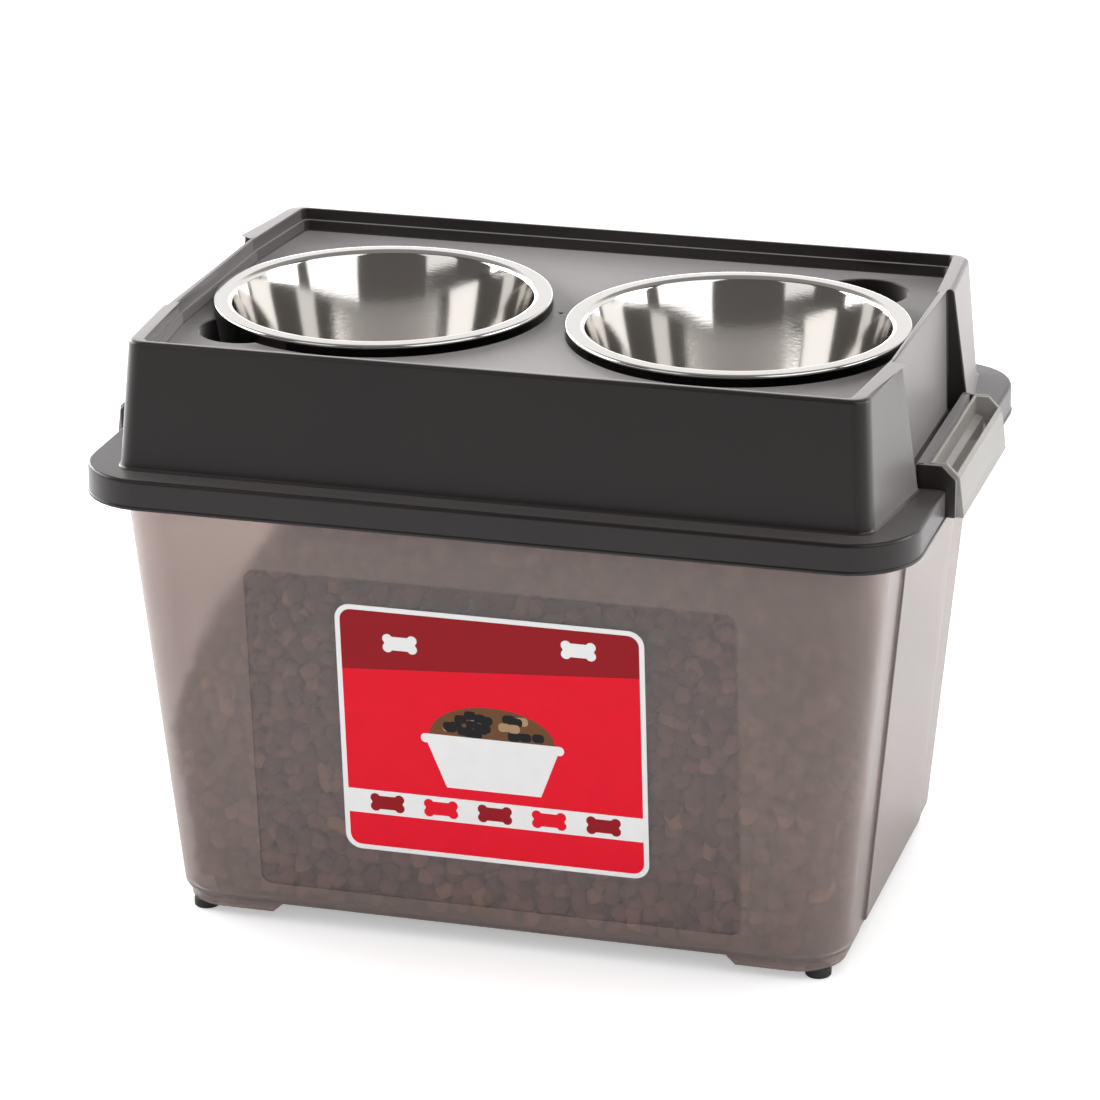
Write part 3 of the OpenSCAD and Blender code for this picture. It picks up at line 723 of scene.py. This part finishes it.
def bin_shell():
    shell = Shell()
    under_rim = Z_RIM - 3
    # height, inset, corner and panel of each ring, from the bottom up
    wall = [shell.ring(bin_ring(*row)) for row in (
        (Z_BIN, 4, 32), (14.5, 2.3, 33.7), (15.7, 0.9, 35.1), (18, 0, 36), (19.5, 0, 36.1),
        (20.5, 0, 36.1, PANEL_OUT), (318.5, 0, 45, PANEL_OUT), (under_rim, 0, 45))]
    shell.stack(wall)
    panel_low, panel_top = wall[5:7]
    for i, rounding in step_edges(0.7, BIN_STEPS):
        shell.mark(panel_low[i], panel_top[i], rounding)
    rim_low = shell.ring(bin_rim(RIM_X, RIM_Y, RIM_R, under_rim), 0.5)
    rim_top = shell.ring(bin_rim(RIM_X, RIM_Y, RIM_R, Z_RIM), 0.5)
    mouth_top = shell.ring(bin_rim(262.5, 179.5, 42.5, Z_RIM), 0.5)
    shell.stack([wall[-1], rim_low, rim_top, mouth_top])
    inner = [shell.ring(bin_ring(21, BIN_WALL, 33.5)), shell.ring(bin_ring(18.2, 3.4, 32.6)),
             shell.ring(bin_ring(17, 5.5, 31))]
    shell.stack([mouth_top] + inner, 1)
    shell.cap(inner[-1], 1)
    shell.cap(wall[0])
    piece = build("bin_body", shell, [FROST, FROST_IN])
    # the window is sunk a little into both faces of the front wall, which makes it clear there
    for low, high in ((-0.6, 3.0), (-6.0, -2.44)):
        pane = prism("pane", flat_round_rect(WINDOW_X, WINDOW_Z, WINDOW_R), low, high, [CLEAR])
        place(pane, on_front(Z_BIN + WINDOW_BOTTOM + WINDOW_Z))
        cut(piece, pane)
    shade(piece, 35)
    weight_normals(piece)
    return piece


def bin_skirt():
    """The skirt under the bin: full height at the corners, run out between them."""
    x, y, r, thick, steps = 233.5, 154.0, 32.0, 5, 10
    # half lengths of the stretches without skirt, and the length of the slope at their ends
    span_x, span_y, slope = BIN_X - 73, BIN_Y - 78, 8.0

    def path(hx, hy, rr):
        points = []
        for q in range(4):
            sx = 1 if q in (0, 3) else -1
            sy = 1 if q < 2 else -1
            for i in range(steps + 1):
                a = math.radians(90 * q + 90 * i / steps)
                points.append((sx * (hx - rr) + rr * math.cos(a),
                               sy * (hy - rr) + rr * math.sin(a)))
            if q in (0, 2):
                stops = [(sx * s, sy * hy) for s in (span_x, span_x - slope)]
                points += stops + [(-px, py) for px, py in reversed(stops)]
            else:
                stops = [(sx * hx, sy * s) for s in (span_y, span_y - slope)]
                points += stops + [(px, -py) for px, py in reversed(stops)]
        return points

    def low(px, py, hx, hy):
        """Height of the skirt's lower edge."""
        on_x = abs(abs(py) - hy) < 0.01
        reach = span_x - abs(px) if on_x else span_y - abs(py)
        if not on_x and abs(abs(px) - hx) > 0.01:
            reach = 0
        return Z_FOOT + (Z_BIN + 0.5 - Z_FOOT) * min(max(reach / slope, 0), 1)

    shell = Shell()
    outer, inner = path(x, y, r), path(x - thick, y - thick, r - thick)
    loops = [shell.ring([(px, py, Z_BIN + 1) for px, py in outer]),
             shell.ring([(px, py, low(px, py, x, y)) for px, py in outer], 0.6),
             shell.ring([(px, py, low(px, py, x - thick, y - thick)) for px, py in inner], 0.6),
             shell.ring([(px, py, Z_BIN + 1) for px, py in inner])]
    shell.stack(loops + loops[:1])
    piece = build("bin_skirt", shell, [FROST])
    shade(piece, 35)
    weight_normals(piece)
    return piece


bin_body = bin_shell()
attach(bin_body, "bin")
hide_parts("storage_bin")
skirt = bin_skirt()
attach(skirt, "bin")


# ---------------------------------------------------------------- pads and seal

def pad(sx, sy, name):
    profile = [(0, 0), (7.2, 0), (8.3, 0.3), (8.9, 1.0), (9, 2.0), (9, 5.8), (8.7, 6.6),
               (8.0, Z_FOOT), (0, Z_FOOT)]
    piece = build("pad_" + name, revolve(profile, 48), [RUBBER])
    piece.location = (sx * PAD_X * MM, sy * PAD_Y * MM, 0)
    shade(piece, 40)
    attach(piece, "bin")
    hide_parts("foot_pad_" + name)


for sy, row in ((-1, "front"), (1, "back")):
    for sx, end in ((-1, "left"), (1, "right")):
        pad(sx, sy, row + "_" + end)
frame["nodes"]["lid_seal"].data.materials.clear()
frame["nodes"]["lid_seal"].data.materials.append(SEAL)


# ---------------------------------------------------------------- latches

def latch(side):
    """Swinging latch: a beveled bar with a grip trough between its cheeks."""
    body = [(274.5, 348), (285.8, 348), (294.6, 339), (298, 311), (276.4, 311), (276.4, 317),
            (279.4, 317), (279.4, 333), (274.5, 335)]
    trough = [(277, 349), (277, 335.5), (281.9, 333), (281.9, 316), (294.9, 316), (292.1, 338),
              (292.1, 349)]
    half, cheek, stub_r, steps = 73.5, 3.5, 2.4, 24
    bar = prism("bar", body, -half, half, [LATCH])
    place(bar, UPRIGHT)
    hollow = prism("hollow", trough, cheek - half, half - cheek, [LATCH])
    place(hollow, UPRIGHT)
    cut(bar, hollow)
    bevel_by_angle(bar, 0.7, 20)
    pieces = [bar]
    turns = [math.radians(360 / steps * i) for i in range(steps)]
    circle = [(LATCH_X + stub_r * math.cos(a), LATCH_Z + stub_r * math.sin(a)) for a in turns]
    for s in (-1, 1):
        stub = prism("stub", circle, *sorted((s * (half - 0.2), s * (half + 2.5))), [LATCH])
        place(stub, UPRIGHT)
        pieces.append(stub)
    piece = join("latch_" + ("right" if side > 0 else "left") + "_body", pieces)
    if side < 0:
        mirror(piece)
    shade(piece, 30)
    weight_normals(piece)
    return piece


for side, name in ((-1, "left"), (1, "right")):
    piece = latch(side)
    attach(piece, "latch_" + name)
    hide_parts("latch_" + name)


# ---------------------------------------------------------------- label

def label():
    """Printed label: white border, red field and plain motifs of a bowl and biscuits."""
    white = film("label_white", (0.86, 0.86, 0.86))
    red = film("label_red", (0.80, 0.004, 0.022))
    dark = film("label_dark_red", (0.30, 0.006, 0.012))
    brown = film("label_brown", (0.16, 0.07, 0.03))
    black = film("label_black", (0.012, 0.012, 0.013))
    tan = film("label_tan", (0.42, 0.27, 0.15))
    layers = []

    def sheet(points, level, paint, at=(0, 0)):
        """An area of one colour, in mm from the label's middle; higher levels lie on top."""
        moved = [(x + at[0], y + at[1]) for x, y in points]
        layers.append(prism("sheet", moved, 0.36 if level else 0, 0.40 + 0.045 * level, [paint]))

    x, y, r = 103.5, 88.5, 8        # half sizes and corner of the red field
    sheet(flat_round_rect(107, LABEL_HALF, 11), 0, white)
    sheet(flat_round_rect(x, y, r), 1, red)
    # band across the top and a band low down
    sheet([(-x, 44), (x, 58), (x, y - r)] + arc(x - r, y - r, r, 0, 90)
          + arc(r - x, y - r, r, 90, 180), 2, dark)
    sheet([(-x, -64), (x, -64), (x, -46), (-x, -46)], 2, white)
    # bowl with its filling
    sheet([(46, -4), (33, -38), (-33, -38), (-46, -4)], 3, white)
    sheet(flat_round_rect(50, 3.4, 3.3), 4, white, (0, -2))
    reach = 44
    turns = [math.radians(a) for a in range(0, 181, 12)]
    sheet([(reach * math.cos(a), 1 + 24 * math.sin(a)) for a in turns], 2, brown)
    rng = random.Random(5)
    for i in range(30):
        a = math.radians(rng.uniform(8, 172))
        k = rng.uniform(0.25, 0.88)
        # each nugget has its own level, so that no two faces lie in one plane
        sheet(flat_round_rect(4.2, 3.2, 2.6), 3 + 0.03 * i, rng.choice([black, black, tan]),
              (reach * k * math.cos(a), 3 + 20 * k * math.sin(a)))
    # biscuits on the white band
    for i in range(5):
        biscuit(sheet, red if i % 2 else dark, -76 + 38 * i, -55)
    biscuit(sheet, white, -62, 66)
    biscuit(sheet, white, 62, 74)
    piece = join("printed_label", layers)
    place(piece, on_front(Z_BIN + WINDOW_BOTTOM + LABEL_BOTTOM + LABEL_HALF, -0.6))
    shade(piece, 30)
    return piece


def biscuit(sheet, paint, x, y):
    """A plain bone-shaped biscuit."""
    points = (arc(8.5, 3.2, 3.6, -50, 150) + arc(-8.5, 3.2, 3.6, 30, 230)
              + arc(-8.5, -3.2, 3.6, 130, 330) + arc(8.5, -3.2, 3.6, 210, 410))
    sheet(points, 4, paint, (x, y))


sticker = label()
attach(sticker, "bin")
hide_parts("front_label")


# ---------------------------------------------------------------- dry food

HEAP_TOP, HEAP_SLOPE, HEAP_LOW = 298, 1.43, 60
TOP_X, TOP_Y, TOP_R = 92, 40, 60    # half sizes of its level part, which TOP_R widens all round
PITCH = 12.2                        # from nugget to nugget
NUGGET_ROOM = 6.6                   # least distance of a nugget's centre from the inner wall


def room(x, y, z):
    """How far a point inside the bin is from its inner wall, on the plan."""
    r = 36.0
    dx, dy = abs(x) - (wall_x(z) - BIN_WALL - r), abs(y) - (wall_y(z) - BIN_WALL - r)
    return r - (math.hypot(dx, dy) if dx > 0 and dy > 0 else max(dx, dy))


def past_top(x, y):
    """How far a point is outside the level part of the heap, on the plan."""
    return math.hypot(max(0, abs(x) - TOP_X), max(0, abs(y) - TOP_Y)) - TOP_R


def heap_height(x, y):
    """Height of the food's surface."""
    z = HEAP_TOP - HEAP_SLOPE * max(0, past_top(x, y))
    z += (5 * noise.noise(Vector((x * 0.014, y * 0.014, 3.1)))
          + 3 * noise.noise(Vector((x * 0.05, y * 0.05, 1.7))))
    return max(z, HEAP_LOW)


def nugget(cuts):
    """Points and faces of a unit nugget: a cube cut up and drawn towards a ball."""
    bm = bmesh.new()
    bmesh.ops.create_cube(bm, size=2)
    bmesh.ops.subdivide_edges(bm, edges=bm.edges, cuts=cuts, use_grid_fill=True)
    verts = []
    for v in bm.verts:
        p = v.co.copy()
        q = p.normalized()
        verts.append(p * 0.35 + q * 0.65)
    index = {v: i for i, v in enumerate(bm.verts)}
    faces = [[index[v] for v in f.verts] for f in bm.faces]
    bm.free()
    return verts, faces


def food():
    """Heap of nuggets against the walls and over the top, round a closed core."""
    rng = random.Random(11)
    fine, coarse = nugget(2), nugget(1)
    verts, faces, tones = [], [], []

    def add(x, y, z, flat, shape):
        """Adds a nugget of random size, turn and tone that lies on the plane with normal flat."""
        if room(x, y, z) < NUGGET_ROOM:
            return
        size = Vector((rng.uniform(6.2, 8.2), rng.uniform(5.2, 6.6), rng.uniform(4.2, 5.4)))
        turn = Matrix.Rotation(rng.uniform(0, math.tau), 3, "Z")
        tip = (Matrix.Rotation(rng.uniform(-0.6, 0.6), 3, "X")
               @ Matrix.Rotation(rng.uniform(-0.6, 0.6), 3, "Y"))
        stand = flat.to_track_quat("Z", "Y").to_matrix()
        first = len(verts)
        tone = rng.random() ** 1.4 * 0.8 if rng.random() > 0.08 else rng.uniform(0.85, 1.0)
        lump = rng.uniform(0, 50)
        for p in shape[0]:
            w = 1 + 0.14 * noise.noise(p * 1.3 + Vector((lump, 0, 0)))
            q = stand @ (tip @ (turn @ Vector((p.x * size.x, p.y * size.y, p.z * size.z)))) * w
            verts.append(((x + q.x) * MM, (y + q.y) * MM, (z + q.z) * MM))
            tones.append(tone)
        faces.extend([[first + i for i in f] for f in shape[1]])

    # two layers against the walls; the nuggets that the photograph shows best, in the first
    # layer at the front and on the right, are of the finer kind
    for layer in range(2):
        shape = fine if layer == 0 else coarse
        back = 7.6 + 9.5 * layer
        z = 25.0 + layer * 6
        while z < HEAP_TOP + 2:
            hx, hy = wall_x(z) - BIN_WALL, wall_y(z) - BIN_WALL
            for axis in (0, 1):
                half = (hx, hy)[axis] - 22
                count = int(2 * half / PITCH)
                for s in (-1, 1):
                    for i in range(count + 1):
                        u = -half + 2 * half * i / count + rng.uniform(-3.5, 3.5)
                        h = z + rng.uniform(-3.5, 3.5)
                        d = back + rng.uniform(-0.8, 2.2)
                        p = (u, s * (hy - d)) if axis == 0 else (s * (hx - d), u)
                        seen = s < 0 if axis == 0 else s > 0
                        if h < heap_height(*p) - 3 and rng.random() < 0.97:
                            add(*p, h, Vector((0, s, 0)) if axis == 0 else Vector((s, 0, 0)),
                                shape if seen else coarse)
            z += PITCH * 0.86
    # one layer over the heap, twice as dense on its slopes
    y = -150.0
    while y < 151:
        x = -232.0
        while x < 233:
            for _ in range(2 if past_top(x, y) > 0 else 1):
                px, py = x + rng.uniform(-4, 4), y + rng.uniform(-4, 4)
                h = heap_height(px, py)
                if abs(py) < wall_y(h) - 12 and abs(px) < wall_x(h) - 12:
                    slope = Vector((heap_height(px - 4, py) - heap_height(px + 4, py),
                                    heap_height(px, py - 4) - heap_height(px, py + 4), 8.0))
                    add(px, py, h + rng.uniform(-3, 3), slope.normalized(), coarse)
            x += PITCH
        y += PITCH * 0.9
    # Closed core under the nuggets: level 0 is its flat bottom and level 1 lies just under the
    # heap's surface. Each point there is drawn in to fit the bin at its own height.
    first = len(verts)
    cols, rows, inside, deep = 37, 25, 17, 8
    for level in range(2):
        for j in range(rows):
            for i in range(cols):
                u, v = -1 + 2 * i / (cols - 1), -1 + 2 * j / (rows - 1)
                h = 24.0
                x0, y0 = u * (wall_x(h) - inside), v * (wall_y(h) - inside)
                for _ in range(5 * level):
                    h = heap_height(x0, y0) - deep
                    x0, y0 = u * (wall_x(h) - inside), v * (wall_y(h) - inside)
                verts.append((x0 * MM, y0 * MM, h * MM))
                tones.append(0.1)

    def at(level, i, j):
        return first + (level * rows + j) * cols + i

    end, far = cols - 1, rows - 1
    for j in range(far):
        for i in range(end):
            faces.append([at(1, i, j), at(1, i + 1, j), at(1, i + 1, j + 1), at(1, i, j + 1)])
            faces.append([at(0, i, j), at(0, i, j + 1), at(0, i + 1, j + 1), at(0, i + 1, j)])
    for i in range(end):
        faces.append([at(0, i, 0), at(0, i + 1, 0), at(1, i + 1, 0), at(1, i, 0)])
        faces.append([at(0, i, far), at(1, i, far), at(1, i + 1, far), at(0, i + 1, far)])
    for j in range(far):
        faces.append([at(0, 0, j), at(1, 0, j), at(1, 0, j + 1), at(0, 0, j + 1)])
        faces.append([at(0, end, j), at(0, end, j + 1), at(1, end, j + 1), at(1, end, j)])
    mesh = bpy.data.meshes.new("food_nuggets")
    mesh.from_pydata(verts, [], faces)
    mesh.polygons.foreach_set("use_smooth", [True] * len(mesh.polygons))
    tone = mesh.attributes.new("tone", "FLOAT", "POINT")
    tone.data.foreach_set("value", tones)
    mesh.materials.append(KIBBLE)
    piece = bpy.data.objects.new("food_nuggets", mesh)
    bpy.context.scene.collection.objects.link(piece)
    return piece


kibble = food()
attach(kibble, "bin")
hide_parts("dry_food")


# ---------------------------------------------------------------- stage, lights, camera

def floor():
    """Pale floor, a little brighter to the camera only, so that its far part looks white."""
    made, tree, bsdf = material("studio_floor", Base_Color=(0.86, 0.86, 0.86, 1), Roughness=0.6,
                                Specular_IOR_Level=0.2, Emission_Color=(1, 1, 1, 1))
    tone = ramp(tree, grain(tree, 3, 2), [(0.3, (0.85, 0.85, 0.85)), (0.7, (0.87, 0.87, 0.87))])
    tree.links.new(tone, bsdf.inputs["Base Color"])
    seen = node(tree, "ShaderNodeLightPath").outputs["Is Camera Ray"]
    tree.links.new(maths(tree, "MULTIPLY", seen, 0.4), bsdf.inputs["Emission Strength"])
    shell = Shell()
    reach = 9000
    shell.cap(shell.ring([(-reach, -reach, 0), (reach, -reach, 0), (reach, reach, 0),
                          (-reach, reach, 0)]))
    piece = build("studio_floor", shell, [made])


def lamp(name, at, aim, size, power):
    """Soft white lamp, in metres and watts, that doesn't show through see-through walls."""
    data = bpy.data.lights.new(name, "AREA")
    data.shape = "RECTANGLE"
    data.size, data.size_y = size
    data.energy = power
    lamp_object = bpy.data.objects.new(name, data)
    lamp_object.location = at
    lamp_object.rotation_euler = (Vector(aim) - Vector(at)).to_track_quat("-Z", "Y").to_euler()
    lamp_object.visible_transmission = False
    bpy.context.scene.collection.objects.link(lamp_object)
    return lamp_object


def mix(tree, factor, a, b):
    made = node(tree, "ShaderNodeMix", {"Factor": factor, 6: a, 7: b}, data_type="RGBA")
    return made.outputs[2]


def world():
    """An even grey for diffuse light and white to the camera. Mirror reflections show a studio
    that is white behind the object, grey above it and dark in front."""
    made = bpy.data.worlds.new("studio")
    made.use_nodes = True
    tree = made.node_tree
    tree.nodes.clear()
    path = node(tree, "ShaderNodeLightPath").outputs
    where = node(tree, "ShaderNodeTexCoord").outputs["Generated"]
    axes = node(tree, "ShaderNodeSeparateXYZ", {"Vector": where}).outputs
    level = node(tree, "ShaderNodeCombineXYZ",
                 {"X": axes["X"], "Y": axes["Y"], "Z": 0.0}).outputs[0]
    level = node(tree, "ShaderNodeVectorMath", {0: level}, operation="NORMALIZE").outputs["Vector"]
    # the direction in which the photograph was taken, on the plan
    behind = node(tree, "ShaderNodeVectorMath", {0: level, 1: (-0.216, 0.976, 0)},
                  operation="DOT_PRODUCT").outputs["Value"]
    back = node(tree, "ShaderNodeMapRange",
                {"Value": behind, "From Min": -0.06, "From Max": 0.14}).outputs["Result"]
    ceiling = (0.25, 0.24, 0.24)
    rear = ramp(tree, axes["Z"], [(0.0, (1, 1, 1)), (0.46, (1, 0.99, 0.985)),
                                  (0.60, (0.34, 0.33, 0.32)), (1.0, ceiling)])
    front = ramp(tree, axes["Z"], [(0.0, (0.11, 0.10, 0.095)), (0.70, (0.09, 0.085, 0.08)),
                                   (0.85, ceiling), (1.0, ceiling)])
    studio = mix(tree, back, front, rear)
    unseen = mix(tree, path["Is Glossy Ray"], (0.6, 0.6, 0.6, 1), studio)
    seen = maths(tree, "MAXIMUM", path["Is Camera Ray"], path["Is Transmission Ray"])
    colour = mix(tree, seen, unseen, (1, 1, 1, 1))
    light = node(tree, "ShaderNodeBackground", {"Color": colour, "Strength": 1.0})
    end = node(tree, "ShaderNodeOutputWorld")
    tree.links.new(light.outputs[0], end.inputs["Surface"])
    bpy.context.scene.world = made


def camera():
    """The camera as solved from the photograph: angles in radians, lengths in mm and pixels."""
    yaw, pitch, roll, focal = 0.2838448, 0.3535460, -0.0085445, 4701.117
    photo_width, sensor = 1100, 36
    shift = Vector((6.11827, -165.60208, 3208.88852))
    origin = Vector((0, 0, 411))        # at the height of the bowls' rims
    ahead = Vector((-math.sin(yaw) * math.cos(pitch), math.cos(yaw) * math.cos(pitch),
                    -math.sin(pitch)))
    right = Vector((math.cos(yaw), math.sin(yaw), 0))
    down = ahead.cross(right)
    c, s = math.cos(roll), math.sin(roll)
    rows = [c * right - s * down, s * right + c * down, ahead]
    where = -(rows[0] * shift.x + rows[1] * shift.y + rows[2] * shift.z) + origin
    data = bpy.data.cameras.new("camera")
    data.sensor_width = sensor
    data.lens = focal / photo_width * sensor
    data.clip_start, data.clip_end = 0.05, 60
    eye = bpy.data.objects.new("camera", data)
    turn = Matrix((rows[0], -rows[1], -rows[2])).transposed().to_4x4()
    eye.matrix_world = Matrix.Translation(where * MM) @ turn
    bpy.context.scene.collection.objects.link(eye)
    bpy.context.scene.camera = eye


floor()
world()
camera()
lamp("back_low", (-0.75, 3.0, 0.75), (0, 0, 0.4), (4.2, 0.6), 9.6)
lamp("back_left", (-2.6, 1.6, 1.0), (0, 0, 0.4), (1.8, 1.2), 43)
lamp("side_left", (-2.8, 0, 1.3), (0, 0, 0.4), (1.6, 1.4), 35)
lamp("side_right", (2.8, 0.7, 1.1), (0, 0, 0.3), (1.6, 1.8), 30)
lamp("front_left", (-1.2, -1.92, 1.46), (0, 0, 0.4), (1.1, 1.34), 4)
lamp("front_right", (1.87, -1.17, 1.57), (0, 0, 0.4), (2.0, 2.0), 17)
# the top lamp isn't mirrored, or the bowls' floors would be blown out from above
lamp("top", (0, 0.6, 2.8), (0, 0, 0.3), (2.5, 1.6), 38).visible_glossy = False
bpy.context.scene.view_settings.view_transform = "Standard"
